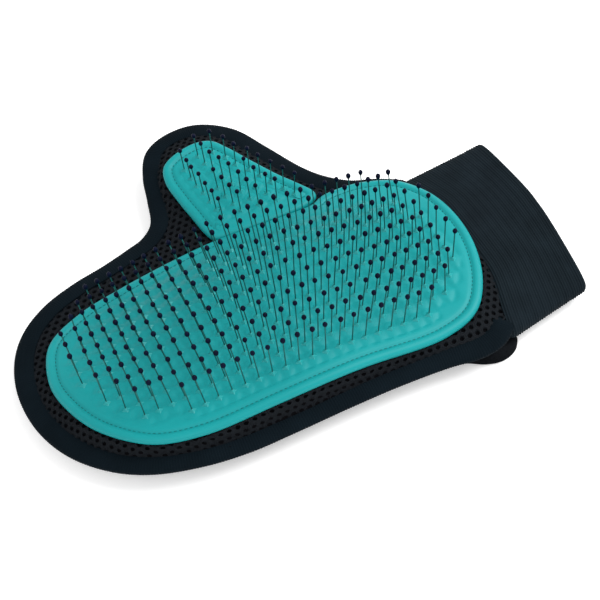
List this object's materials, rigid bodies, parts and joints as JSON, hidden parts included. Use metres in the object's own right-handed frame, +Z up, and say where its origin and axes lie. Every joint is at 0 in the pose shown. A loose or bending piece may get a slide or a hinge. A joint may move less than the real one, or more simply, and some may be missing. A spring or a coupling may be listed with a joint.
{
  "type": "pet grooming glove",
  "caption": "Mitten-shaped pet grooming glove with bristled rubber palm and thumb pads, mesh hand pocket, bound edge and elastic wrist cuff",
  "frame": {"origin": "bottom centre of the bounding box, on the surface the back panel rests on", "axes": "+X from the fingertips towards the cuff, +Y towards the thumb, +Z up out of the palm pad along the bristles"},
  "size_m": [0.2387, 0.1886, 0.0444],
  "materials": {
    "pad_rubber": "satin moulded rubber",
    "pin_steel": "bare wire with dark dipped ball tips",
    "air_mesh": "black spacer mesh",
    "backing_cloth": "dark woven backing",
    "binding_tape": "ribbed binding tape",
    "cuff_elastic": "ribbed elastic"
  },
  "bodies": {
    "palm": {"palm_pad": "pad_rubber", "palm_pad_backing": "backing_cloth", "palm_bristle_row_01": "pin_steel", "palm_bristle_row_02": "pin_steel", "palm_bristle_row_03": "pin_steel", "palm_bristle_row_04": "pin_steel", "palm_bristle_row_05": "pin_steel", "palm_bristle_row_06": "pin_steel", "palm_bristle_row_07": "pin_steel", "palm_bristle_row_08": "pin_steel", "palm_bristle_row_09": "pin_steel", "palm_bristle_row_10": "pin_steel", "palm_bristle_row_11": "pin_steel", "palm_front_panel": "air_mesh", "palm_back_panel": "air_mesh", "finger_binding": "binding_tape", "wrist_binding": "binding_tape"},
    "thumb": {"thumb_pad": "pad_rubber", "thumb_pad_backing": "backing_cloth", "thumb_bristle_row_1": "pin_steel", "thumb_bristle_row_2": "pin_steel", "thumb_bristle_row_3": "pin_steel", "thumb_bristle_row_4": "pin_steel", "thumb_bristle_row_5": "pin_steel", "thumb_bristle_row_6": "pin_steel", "thumb_bristle_row_7": "pin_steel", "thumb_bristle_row_8": "pin_steel", "thumb_front_panel": "air_mesh", "thumb_back_panel": "air_mesh", "thumb_binding": "binding_tape"},
    "cuff": {"cuff_seam_band": "cuff_elastic", "cuff_band": "cuff_elastic", "cuff_hem": "cuff_elastic"}
  },
  "joints": [
    {"name": "thumb_fold", "type": "hinge", "parent": "palm", "child": "thumb", "pos_m": [0.00355, 0.0186, 0.0146], "axis": [1, 0, 0], "range_deg": [-7, 30], "stiffness_Nm_per_rad": 0.03},
    {"name": "cuff_bend", "type": "hinge", "parent": "palm", "child": "cuff", "pos_m": [0.08095, -0.0374, 0.0074], "axis": [0, -1, 0], "range_deg": [-25, 12], "stiffness_Nm_per_rad": 0.02}
  ]
}
